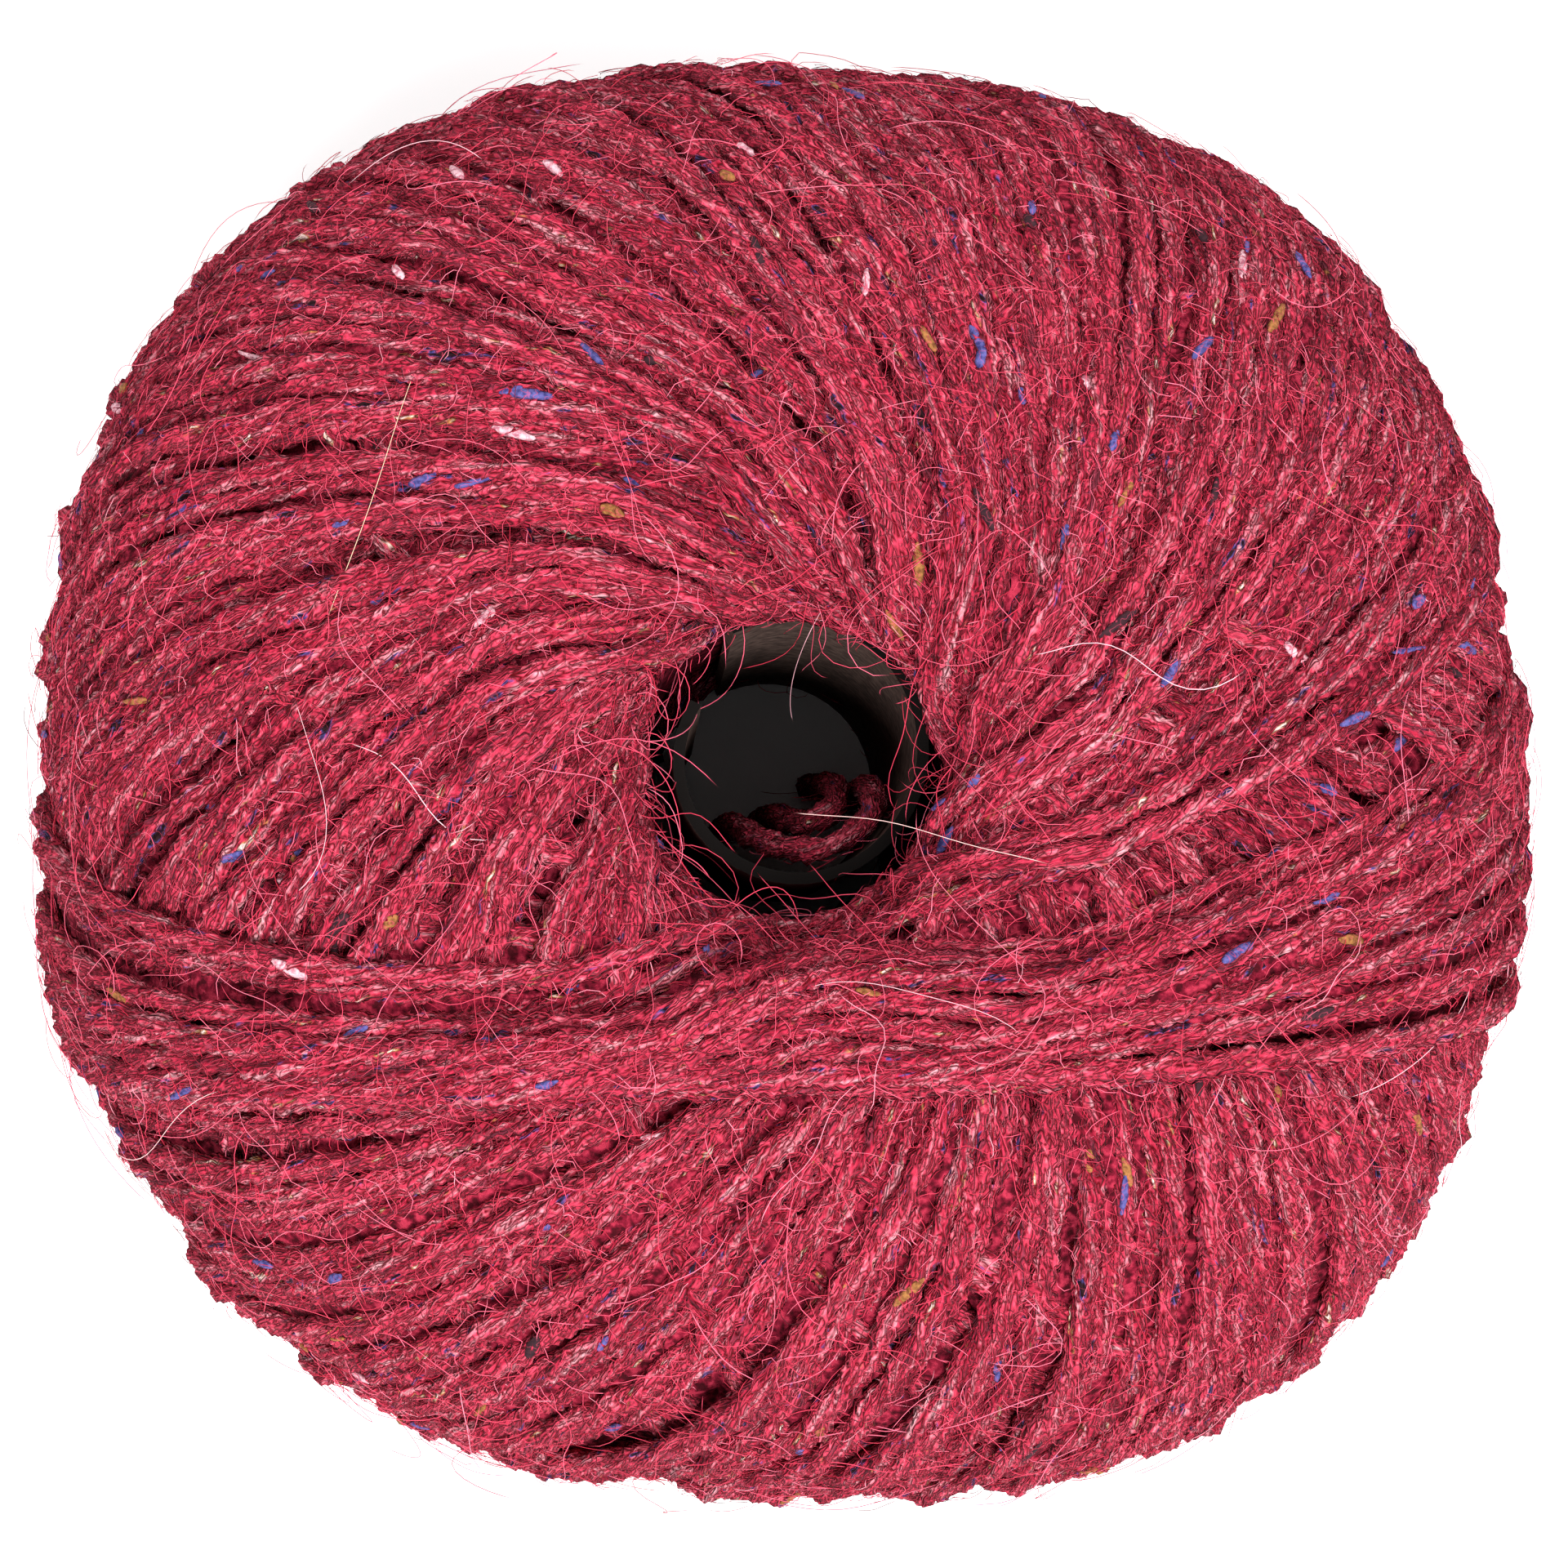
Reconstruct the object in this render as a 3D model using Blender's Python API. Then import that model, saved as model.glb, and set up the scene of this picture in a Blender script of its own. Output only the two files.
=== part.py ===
"""A machine-wound ball of tweed yarn with an open middle, lying on its flat side.

The ball is one solid. Its section is spun round the middle, and its skin is then raised by the
winding itself: sheaves of yarn that pass close by the hole on top, run out over the rim and pass
the hole again underneath. Each sheaf lies on the older ones, and the last few turns make the thick
band that crosses in front of the hole. A rolled strip of card stands loose in the hole.

Metres, +Z up. The origin is under the middle of the ball, on the surface that it lies on.
"""

import math

import bmesh
import bpy
import numpy as np

# Driving dimensions of the ball, in metres.
BALL_RADIUS = 0.0450  # mean radius seen from above, before the sheaves are raised
HALF_HEIGHT = 0.0272  # middle plane to the top of the plain form
SHOULDER_POWER = 2.25  # 2 is an ellipse; more gives the fuller side of a wound ball
CREST_RADIUS = 0.0158  # where the top face is highest
HOLE_RADIUS = 0.0092
LIP_HEIGHT = 0.0130  # depth over which the lip rounds down into the hole
FLAT_DEPTH = 0.0005  # how far the underside is pressed flat above its plain lowest point

# The outline seen from above is a lopsided rounded square: share of the radius, and where it is widest.
OUTLINE_BULGE = 0.014
OUTLINE_BULGE_AT = math.radians(-71)
OUTLINE_OVAL = 0.027
OUTLINE_OVAL_AT = math.radians(-9)
OUTLINE_SQUARE = 0.026
OUTLINE_SQUARE_AT = math.radians(44)
# The hole is a lopsided round too.
HOLE_OVAL = 0.04
HOLE_OVAL_AT = math.radians(125)

# The sheaves of one full pass of the winding, which goes all the way round the ball.
SHEAVES = 28
SHEAF_WIDTH = 0.0108  # at the rim
SHEAF_RELIEF = 0.0030
SHEAF_NARROWEST = 0.3  # width and relief by the middle of the ball, as a share of those at the rim
PASS_RISE = 0.0012  # the newest sheaf of the pass lies this much above the oldest
CLOSEST_PASS = 0.0112  # how near the middle a sheaf passes
SHEAF_SWEEP = math.radians(206)  # how far round the ball a sheaf goes on each face
NEWEST_AT = math.radians(-80)  # where the newest sheaf passes the hole, anticlockwise from +X

# The last turns, which cross in front of the hole: one row for each rope of the band.
# The angles are where the rope comes over the rim and goes out over it, anticlockwise from +X.
BAND_COLUMNS = ("comes_in_deg", "goes_out_deg", "closest", "width", "relief")
BAND_ROWS = (
    (-168, 7, 0.0132, 0.0108, 0.0034),
    (-163, -4, 0.0168, 0.0112, 0.0044),
    (-157, -15, 0.0204, 0.0108, 0.0032),
)
ROPE_NARROWEST = 0.35  # width of a rope by the middle of the ball, as a share of that at the rim
BAND_RIM_SHARE = 0.3  # share of a rope's relief that is left where it is squeezed at the rim
SOFT_EDGE = 0.3  # share of a sheaf's half width over which it sinks into what lies under it

# How finely the skin is divided.
COLUMNS = 120
SIDE_ROWS = 30
LIP_ROWS = 5
WALL_ROWS = 2
PATH_POINTS = 220
SOFTENING = 0.25  # how far each point of the skin is drawn towards its neighbours

# The strip of card, which springs open against the wall of the hole.
CARD_THICKNESS = 0.0007
CARD_RADIUS = 0.0082  # outside of the roll, along most of it
CARD_TUCK_RADIUS = 0.0066  # outside of the roll at its tucked end
CARD_STARTS_AT = math.radians(118)
CARD_SWEEP = math.radians(322)
CARD_TUCK_FROM = 0.6  # share of the strip's length after which it curls in
CARD_HEIGHT = 0.0455
CARD_SLANT = 0.0010  # the top edge is cut a little out of square
CARD_STEPS = 40

YARN_COLOUR = (0.36, 0.035, 0.065, 1.0)
CARD_COLOUR = (0.018, 0.013, 0.012, 1.0)


def outline_scale(angle):
    """How much wider or narrower than BALL_RADIUS the ball is in a direction."""
    bulge = OUTLINE_BULGE * np.cos(angle - OUTLINE_BULGE_AT)
    oval = OUTLINE_OVAL * np.cos(2 * (angle - OUTLINE_OVAL_AT))
    square = OUTLINE_SQUARE * np.cos(4 * (angle - OUTLINE_SQUARE_AT))
    return 1 + bulge + oval + square


def hole_scale(angle):
    """How much wider or narrower than HOLE_RADIUS the hole is in a direction."""
    return 1 + HOLE_OVAL * np.cos(2 * (angle - HOLE_OVAL_AT))


def shape_radius(plain_radius, angle):
    """Turns a radius of the round form into the lopsided one: all hole near it, all outline at the rim."""
    share = np.clip((plain_radius - HOLE_RADIUS) / (BALL_RADIUS - HOLE_RADIUS), 0, 1)
    return plain_radius * ((1 - share) * hole_scale(angle) + share * outline_scale(angle))


def crown_height(plain_radius):
    """Height of the plain form above its middle plane at a radius, on the top face."""
    out = np.clip((plain_radius - CREST_RADIUS) / (BALL_RADIUS - CREST_RADIUS), 0, 1)
    shoulder = HALF_HEIGHT * (1 - out**SHOULDER_POWER) ** (1 / SHOULDER_POWER)
    inward = np.clip((CREST_RADIUS - plain_radius) / (CREST_RADIUS - HOLE_RADIUS), 0, 1)
    lip = HALF_HEIGHT - LIP_HEIGHT * (1 - np.sqrt(1 - inward**2))
    return np.where(plain_radius >= CREST_RADIUS, shoulder, lip)


def evenly_spaced(line, count):
    """A line's points moved along it until they are count equal steps apart."""
    gone = np.concatenate(([0], np.cumsum(np.linalg.norm(np.diff(line, axis=0), axis=1))))
    wanted = np.linspace(0, gone[-1], count + 1)
    return np.stack([np.interp(wanted, gone, column) for column in line.T], axis=1)


def section_points():
    """The round form's section as (radius, height) pairs, from the rim over the top and down the hole."""
    turn = np.linspace(-math.pi / 2, math.pi / 2, 400)
    radius = CREST_RADIUS + (BALL_RADIUS - CREST_RADIUS) * np.cos(turn) ** (2 / SHOULDER_POWER)
    height = HALF_HEIGHT * np.sign(turn) * np.abs(np.sin(turn)) ** (2 / SHOULDER_POWER)
    side = evenly_spaced(np.stack((radius, height), axis=1), SIDE_ROWS)
    turn = np.linspace(0, math.pi / 2, LIP_ROWS + 1)[1:]
    lip_foot = HALF_HEIGHT - LIP_HEIGHT
    lip_radius = CREST_RADIUS - (CREST_RADIUS - HOLE_RADIUS) * np.sin(turn)
    lip = np.stack((lip_radius, lip_foot + LIP_HEIGHT * np.cos(turn)), axis=1)
    wall_height = np.linspace(lip_foot, -lip_foot, WALL_ROWS + 1)[1:-1]
    wall = np.stack((np.full(WALL_ROWS - 1, HOLE_RADIUS), wall_height), axis=1)
    return np.concatenate((side, lip, wall, lip[::-1] * (1, -1)))


def winding_path(passes_at, closest, sweep):
    """Points of one full turn of the yarn: in from the rim, past the hole on top, out, and the same below.

    On each face the turn is an ellipse squeezed to its closest pass of the middle, and it is bent
    round the ball at an even rate until it goes round by the sweep between coming in and going out.
    """
    phase = np.linspace(-math.pi / 2, math.pi / 2, PATH_POINTS // 2)
    along = BALL_RADIUS * np.sin(phase)
    across = closest * np.cos(phase)
    radius = np.hypot(along, across)
    bend = (sweep - math.pi) * phase / math.pi
    faces = []
    for side, start in ((1, passes_at), (-1, passes_at + sweep)):
        angle = start + np.arctan2(along, across) + bend
        shaped = shape_radius(radius, angle)
        height = side * crown_height(radius)
        faces.append(np.stack((shaped * np.cos(angle), shaped * np.sin(angle), height), axis=1))
    return np.concatenate(faces)


def distance_to_path(points, path):
    """Shortest distance from each point to a turn of the yarn."""
    gaps = points[:, None, :] - path[None, :, :]
    return np.sqrt((gaps**2).sum(axis=2).min(axis=1))


def lay_over(height, across, over):
    """Heights after a sheaf is laid over them: its own where it lies, sinking softly at both its edges."""
    share = np.clip((1 - across) / SOFT_EDGE, 0, 1)
    return height + (over - height) * share**2 * (3 - 2 * share)


def raise_by_winding(points, spread):
    """Height of the winding over the plain form at each point, laid sheaf by sheaf from the oldest.

    The spread is each point's share of the way from the middle to the rim, where the winding fans out.
    """
    height = np.zeros(len(points))
    fanned = SHEAF_NARROWEST + (1 - SHEAF_NARROWEST) * spread
    for number in range(SHEAVES):
        passes_at = NEWEST_AT + 2 * math.pi * (SHEAVES - number) / SHEAVES
        path = winding_path(passes_at, CLOSEST_PASS, SHEAF_SWEEP)
        across = distance_to_path(points, path) / (fanned * SHEAF_WIDTH / 2)
        over = PASS_RISE * number / SHEAVES + fanned * SHEAF_RELIEF * (1 - across**2)
        height = lay_over(height, across, over)
    fanned = ROPE_NARROWEST + (1 - ROPE_NARROWEST) * spread
    flatness = np.abs(points[:, 2]) / HALF_HEIGHT
    squeezed = BAND_RIM_SHARE + (1 - BAND_RIM_SHARE) * flatness
    for row in BAND_ROWS:
        rope = dict(zip(BAND_COLUMNS, row))
        comes_in = math.radians(rope["comes_in_deg"])
        goes_out = math.radians(rope["goes_out_deg"])
        path = winding_path((comes_in + goes_out) / 2, rope["closest"], goes_out - comes_in)
        across = distance_to_path(points, path) / (fanned * rope["width"] / 2)
        over = PASS_RISE + squeezed * rope["relief"] * (1 - across**2)
        height = lay_over(height, across, over)
    return height


def new_object(name, mesh_edit, colour, roughness):
    """Puts a finished bmesh in the scene as one named object with its own material."""
    mesh = bpy.data.meshes.new(name)
    bmesh.ops.recalc_face_normals(mesh_edit, faces=mesh_edit.faces)
    mesh_edit.to_mesh(mesh)
    mesh_edit.free()
    mesh.shade_smooth()
    mesh.set_sharp_from_angle(angle=math.radians(50))
    piece = bpy.data.objects.new(name, mesh)
    bpy.context.scene.collection.objects.link(piece)
    material = bpy.data.materials.new(name)
    material.use_nodes = True
    shader = material.node_tree.nodes["Principled BSDF"]
    shader.inputs["Base Color"].default_value = colour
    shader.inputs["Roughness"].default_value = roughness
    shader.inputs["Metallic"].default_value = 0.0
    mesh.materials.append(material)
    return piece


def wound_ball():
    """The ball: the section spun round, made lopsided, raised by the winding and pressed flat below."""
    body = bmesh.new()
    ring = [body.verts.new((radius, 0, height)) for radius, height in section_points()]
    edges = [body.edges.new((ring[i], ring[(i + 1) % len(ring)])) for i in range(len(ring))]
    bmesh.ops.spin(
        body,
        geom=ring + edges,
        cent=(0, 0, 0),
        axis=(0, 0, 1),
        angle=2 * math.pi,
        steps=COLUMNS,
        use_merge=True,
    )
    plain = np.array([v.co for v in body.verts])
    radius = np.hypot(plain[:, 0], plain[:, 1])
    angle = np.arctan2(plain[:, 1], plain[:, 0])
    shaped = shape_radius(radius, angle)
    points = np.stack((shaped * np.cos(angle), shaped * np.sin(angle), plain[:, 2]), axis=1)
    for vert, point in zip(body.verts, points):
        vert.co = point
    bmesh.ops.recalc_face_normals(body, faces=body.faces)
    body.normal_update()
    normals = np.array([v.normal for v in body.verts])
    wall_share = np.clip((radius - HOLE_RADIUS) / (CREST_RADIUS - HOLE_RADIUS), 0, 1)
    points += normals * (raise_by_winding(points, radius / BALL_RADIUS) * wall_share)[:, None]
    for vert, point in zip(body.verts, points):
        vert.co = point
    every_way = {"use_axis_x": True, "use_axis_y": True, "use_axis_z": True}
    bmesh.ops.smooth_vert(body, verts=body.verts, factor=SOFTENING, **every_way)
    points = np.array([v.co for v in body.verts])
    floor = FLAT_DEPTH - HALF_HEIGHT
    points[:, 2] = np.maximum(points[:, 2], floor) - floor
    middle = (points.max(axis=0) + points.min(axis=0)) / 2
    for vert, point in zip(body.verts, points):
        vert.co = (point[0] - middle[0], point[1] - middle[1], point[2])
    new_object("ball", body, YARN_COLOUR, 0.95)
    return middle


def card_strip(middle):
    """The strip of card, rolled up and standing on the surface inside the hole."""
    roll = bmesh.new()
    outer, inner = [], []
    for i in range(CARD_STEPS + 1):
        share = i / CARD_STEPS
        tuck = max(0, (share - CARD_TUCK_FROM) / (1 - CARD_TUCK_FROM))
        radius = CARD_RADIUS + (CARD_TUCK_RADIUS - CARD_RADIUS) * tuck**1.5
        angle = CARD_STARTS_AT - CARD_SWEEP * share
        for edge, r in ((outer, radius), (inner, radius - CARD_THICKNESS)):
            x = r * math.cos(angle) - middle[0]
            y = r * math.sin(angle) - middle[1]
            edge.append(roll.verts.new((x, y, 0)))
    for i in range(CARD_STEPS):
        roll.faces.new((outer[i], outer[i + 1], inner[i + 1], inner[i]))
    grown = bmesh.ops.extrude_face_region(roll, geom=list(roll.faces))
    for vert in (item for item in grown["geom"] if isinstance(item, bmesh.types.BMVert)):
        across = (vert.co.x - 0.5 * vert.co.y) / CARD_RADIUS
        vert.co.z = CARD_HEIGHT - CARD_SLANT * across
    new_object("card_strip", roll, CARD_COLOUR, 0.9)


def main():
    for item in list(bpy.data.objects):
        bpy.data.objects.remove(item)
    middle = wound_ball()
    card_strip(middle)


main()
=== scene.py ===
# %% [markdown]
# # A ball of tweed yarn
#
# The object is a machine-wound ball of two-ply tweed: one long yarn, laid turn after turn round an
# open middle. Seen from above, each turn comes in over the rim, passes close by the hole and goes
# out again, and the last few turns make a thick band in front of the hole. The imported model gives
# the ball's size and place. This lesson winds the fine turns round that form, twists each of them
# out of two plies, and then brushes up the stray fibres that make the yarn look woolly.

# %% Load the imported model
import math

import bpy
import numpy as np
from mathutils import Matrix, Vector


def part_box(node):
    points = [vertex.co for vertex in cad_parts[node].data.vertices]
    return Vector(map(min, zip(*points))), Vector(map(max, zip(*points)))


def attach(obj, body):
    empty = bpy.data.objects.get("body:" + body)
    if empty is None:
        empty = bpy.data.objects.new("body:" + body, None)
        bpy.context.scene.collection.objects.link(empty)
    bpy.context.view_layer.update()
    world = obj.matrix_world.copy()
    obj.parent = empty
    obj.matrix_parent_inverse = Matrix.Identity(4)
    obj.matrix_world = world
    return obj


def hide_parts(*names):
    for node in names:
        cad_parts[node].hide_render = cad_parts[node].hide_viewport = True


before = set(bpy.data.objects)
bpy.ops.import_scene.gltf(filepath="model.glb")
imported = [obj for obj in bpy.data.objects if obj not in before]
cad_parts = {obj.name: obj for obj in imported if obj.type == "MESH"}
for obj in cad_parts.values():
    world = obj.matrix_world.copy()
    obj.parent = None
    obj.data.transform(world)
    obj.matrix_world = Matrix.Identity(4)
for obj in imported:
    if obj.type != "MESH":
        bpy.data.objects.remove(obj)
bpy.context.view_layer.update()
ball_low, ball_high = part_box("ball")
print("ball is", [round(1000 * side, 1) for side in ball_high - ball_low], "mm")

# %% [markdown]
# ## Units, colours and two small helpers
#
# Sizes are written in millimetres, because that is how a spinner thinks of yarn, and MM turns them
# to metres. Colours are written as they look on a screen and turned to linear light by one function.
# One helper adds a shader node with its settings and links, and one puts arrays into a mesh.

# %% Units and helpers
MM = 0.001
TAU = 2 * math.pi


def linear(hex_colour, alpha=1.0):
    """An sRGB hex colour as linear light: each part is raised to 2.4 above a small straight stretch."""
    parts = [int(hex_colour[i : i + 2], 16) / 255 for i in (1, 3, 5)]
    curve = [c / 12.92 if c <= 0.04045 else ((c + 0.055) / 1.055) ** 2.4 for c in parts]
    return (*curve, alpha)


def add_node(tree, kind, settings=None, **inputs):
    """Adds one shader node. A setting is an attribute; an input is a value, or a socket to link from."""
    node = tree.nodes.new(kind)
    for name, value in (settings or {}).items():
        setattr(node, name, value)
    for name, value in inputs.items():
        socket = node.inputs[int(name[1:])] if name[1:].isdigit() else node.inputs[name.replace("_", " ")]
        if isinstance(value, bpy.types.NodeSocket):
            tree.links.new(value, socket)
        else:
            socket.default_value = value
    return node


def new_mesh(name, points, faces, material):
    """Puts arrays into a mesh object: points is (n, 3), and faces is a list of (m, corners) index arrays."""
    mesh = bpy.data.meshes.new(name)
    corners = np.concatenate([f.ravel() for f in faces]).astype(np.int32)
    sizes = np.concatenate([np.full(len(f), f.shape[1]) for f in faces])
    mesh.vertices.add(len(points))
    mesh.vertices.foreach_set("co", points.astype(np.float32).ravel())
    mesh.loops.add(len(corners))
    mesh.loops.foreach_set("vertex_index", corners)
    mesh.polygons.add(len(sizes))
    mesh.polygons.foreach_set("loop_start", (np.cumsum(sizes) - sizes).astype(np.int32))
    mesh.update(calc_edges=True)
    mesh.shade_smooth()
    mesh.materials.append(material)
    piece = bpy.data.objects.new(name, mesh)
    bpy.context.scene.collection.objects.link(piece)
    return piece


def give_attribute(piece, name, values):
    """Stores one number or one vector for each point of a piece, for its material to read."""
    kind = "FLOAT" if values.ndim == 1 else "FLOAT_VECTOR"
    attribute = piece.data.attributes.new(name, kind, "POINT")
    attribute.data.foreach_set("value" if values.ndim == 1 else "vector", values.astype(np.float32).ravel())


# %% [markdown]
# ## The camera
#
# The photograph looks almost straight down the hole with a long lens. The camera leans a little
# to the lower left, which shows the far wall of the hole and the card there.

# %% Camera
FRAME_WIDTH = 99.9 * MM  # how much of the plane through the rim the picture spans
FIELD_OF_VIEW = math.radians(24)
LEAN_RIGHT = math.radians(-2.2)
LEAN_UP = math.radians(-3.2)
AIM = Vector((0.12 * MM, -0.7 * MM, 29 * MM))

camera_data = bpy.data.cameras.new("camera")
camera_data.angle = FIELD_OF_VIEW
camera = bpy.data.objects.new("camera", camera_data)
bpy.context.scene.collection.objects.link(camera)
camera_distance = FRAME_WIDTH / 2 / math.tan(FIELD_OF_VIEW / 2)
towards_camera = Vector((math.tan(LEAN_RIGHT), math.tan(LEAN_UP), 1)).normalized()
camera_right = Vector((0, 1, 0)).cross(towards_camera).normalized()
camera_up = towards_camera.cross(camera_right)
camera_axes = Matrix((camera_right, camera_up, towards_camera)).transposed().to_4x4()
camera.matrix_world = Matrix.Translation(AIM + towards_camera * camera_distance) @ camera_axes
camera_data.clip_start = 10 * MM
camera_data.clip_end = 5
bpy.context.scene.camera = camera
print("camera is", round(camera_distance / MM), "mm from the rim's plane")

# %% [markdown]
# ## The form under the turns
#
# A wound ball is a fat ring. Its section runs up the wall of the hole, rounds over the lip to the
# crest, and bulges out to the rim, and the same again below. A place on the skin is two numbers: the
# length walked along that section from the middle of the hole's wall, and the angle round the ball.
# Every turn of yarn and every fibre is placed in these two numbers and then lifted off the skin.

# %% The section and the skin
FORM_RADIUS = 43.95 * MM
HALF_HEIGHT = 25.10 * MM
SHOULDER_POWER = 2.25  # 2 is an ellipse; more is a fuller shoulder
CREST_RADIUS = 17.6 * MM
HOLE_RADIUS = 9.8 * MM
LIP_HEIGHT = 10.5 * MM
MIDDLE_HEIGHT = 26.7 * MM  # of the plane through the rim, above the surface
HOLE_PLACE = np.array((0.14, 0.48)) * MM  # middle of the winding, from the middle of the box

# Rows of the lopsided outline: how many lobes, share of the radius, where a lobe points.
OUTLINE_LOBES = ((1, 0.0165, -68), (2, 0.0155, -16), (3, 0.0108, 52), (4, 0.032, 44), (5, 0.006, 25))
HOLE_LOBES = ((1, 0.13, -100), (2, 0.04, 125))


def lobed(lobes, angle):
    """One plus a cosine wave round the ball for each row of lobes."""
    return 1 + sum(share * np.cos(count * (angle - math.radians(at))) for count, share, at in lobes)


def section_line():
    """Radius and height along the section: hole wall, quarter ellipse of the lip, quarter of the side."""
    turn = np.linspace(math.pi / 2, 0, 60)
    lip_foot = HALF_HEIGHT - LIP_HEIGHT
    wall_height = np.linspace(0, lip_foot, 12)[:-1]
    lip_radius = CREST_RADIUS - (CREST_RADIUS - HOLE_RADIUS) * np.sin(turn)
    lip_height = lip_foot + LIP_HEIGHT * np.cos(turn)
    turn = np.linspace(math.pi / 2, 0, 240)[1:]
    side_radius = CREST_RADIUS + (FORM_RADIUS - CREST_RADIUS) * np.cos(turn) ** (2 / SHOULDER_POWER)
    side_height = HALF_HEIGHT * np.sin(turn) ** (2 / SHOULDER_POWER)
    radius = np.concatenate((np.full(11, HOLE_RADIUS), lip_radius, side_radius))
    height = np.concatenate((wall_height, lip_height, side_height))
    return np.concatenate((radius, radius[-2::-1])), np.concatenate((height, -height[-2::-1]))


SECTION_RADIUS, SECTION_HEIGHT = section_line()
SECTION_WALKED = np.concatenate(([0], np.cumsum(np.hypot(np.diff(SECTION_RADIUS), np.diff(SECTION_HEIGHT)))))
SECTION_LENGTH = SECTION_WALKED[-1]
NORMAL_RADIUS = -np.gradient(SECTION_HEIGHT, SECTION_WALKED)
NORMAL_HEIGHT = np.gradient(SECTION_RADIUS, SECTION_WALKED)
TOP_HALF = slice(11, len(SECTION_RADIUS) // 2 + 1)  # from the lip's foot to the rim


def skin_radius(walked):
    """Radius of the plain round form at a length walked along the section."""
    return np.interp(walked, SECTION_WALKED, SECTION_RADIUS)


def on_skin(walked, angle, lift):
    """Points lifted off the skin: the section's point, scaled to the outline, plus lift times its normal."""
    radius = skin_radius(walked)
    share = np.clip((radius - HOLE_RADIUS) / (FORM_RADIUS - HOLE_RADIUS), 0, 1)
    shaped = radius * ((1 - share) * lobed(HOLE_LOBES, angle) + share * lobed(OUTLINE_LOBES, angle))
    shaped = shaped + lift * np.interp(walked, SECTION_WALKED, NORMAL_RADIUS)
    height = np.interp(walked, SECTION_WALKED, SECTION_HEIGHT)
    height = height + lift * np.interp(walked, SECTION_WALKED, NORMAL_HEIGHT) + MIDDLE_HEIGHT
    x = shaped * np.cos(angle) + HOLE_PLACE[0]
    y = shaped * np.sin(angle) + HOLE_PLACE[1]
    return np.stack((x, y, height), axis=-1)


def skin_normal(walked, angle):
    """Unit normals of the plain round form."""
    out = np.interp(walked, SECTION_WALKED, NORMAL_RADIUS)
    up = np.interp(walked, SECTION_WALKED, NORMAL_HEIGHT)
    normal = np.stack((out * np.cos(angle), out * np.sin(angle), up), axis=-1)
    return normal / np.linalg.norm(normal, axis=-1, keepdims=True)


PRESSED_BELOW = 4 * MM
LOWEST = -4.4 * MM  # as low as the round form and its pile would reach


def settled(points):
    """Points pressed on to the surface the ball lies on, for a small flat spot.

    Heights under 4 mm are squeezed by an exponential, which keeps their order: 4 mm stays where it is
    and the lowest comes to rest on the surface.
    """
    rest = math.exp(LOWEST / PRESSED_BELOW - 1)
    share = (np.exp(np.minimum(points[..., 2] / PRESSED_BELOW, 1) - 1) - rest) / (1 - rest)
    pressed = points.copy()
    low = points[..., 2] < PRESSED_BELOW
    pressed[low, 2] = np.maximum(PRESSED_BELOW * share[low], 0)
    return pressed


print("section is", round(SECTION_LENGTH / MM, 1), "mm round")

# %% [markdown]
# ## The route of one turn
#
# On each face a turn is an ellipse squeezed towards the hole: long from rim to rim, and only as wide
# as its closest pass of the middle. It is also bent round the ball at an even rate, which gives the
# pinwheel. A turn over the top face carries on over the rim and passes the hole again underneath.
# Its two ends run on past each other over the rim and dive under their neighbours, so none shows.

# %% The route of one turn
YARN_RADIUS = 0.88 * MM
ROUTE_STEP = 0.35 * MM
OVERLAP = 0.2  # how far a turn runs on at each end, as a share of its phase in radians


def turn_route(passes_at, closest, sweep, wander):
    """Length walked and angle, at even steps along one full turn of the yarn.

    With a phase running from minus to plus a quarter turn on each face, the radius is the hypotenuse
    of the form's radius times its sine and the closest pass times its cosine, and the angle is the
    direction of that point plus an even share of the bend, which is the sweep less half a turn.
    The wander is a slow sideways wave of the yarn: its size, how many waves, and where it starts.
    """
    running = np.linspace(-math.pi / 2 - OVERLAP, 3 * math.pi / 2 + OVERLAP, 900)
    face = np.floor((running + math.pi / 2) / math.pi)  # even on the top face, odd underneath
    phase = running - face * math.pi
    along = FORM_RADIUS * np.sin(phase)
    across = closest * np.cos(phase)
    angle = passes_at + face * sweep + np.arctan2(along, across) + (sweep - math.pi) * phase / math.pi
    top = np.interp(np.hypot(along, across), SECTION_RADIUS[TOP_HALF], SECTION_WALKED[TOP_HALF])
    walked = np.where(face % 2 == 0, top, SECTION_LENGTH - top)
    line = on_skin(walked, angle, 0)
    gone = np.concatenate(([0], np.cumsum(np.linalg.norm(np.diff(line, axis=0), axis=1))))
    even = np.arange(0, gone[-1], ROUTE_STEP)
    walked = np.interp(even, gone, walked)
    angle = np.interp(even, gone, angle)
    size, waves, start = wander
    swing = waves * TAU * even / gone[-1] + start
    shift = size * (np.sin(swing) + 0.3 * np.sin(4.3 * swing))
    return walked + 0.5 * shift, angle + shift / skin_radius(walked)


print("one turn is", round(len(turn_route(0, 0.01, 3.4, (0, 1, 0))[0]) * ROUTE_STEP / MM), "mm of yarn")

# %% [markdown]
# ## Laying the turns
#
# The turns are laid in the order a winder lays them, each on what lies there already. A height map
# over the skin remembers how high the yarn has piled up. A new turn reads the heights under it,
# takes a soft mean because yarn sinks into yarn, smooths it because taut yarn bridges small dips,
# and writes its own top back. Towards the hole there is not room for every turn side by side, so a
# share of them slips under its neighbours there.

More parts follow.
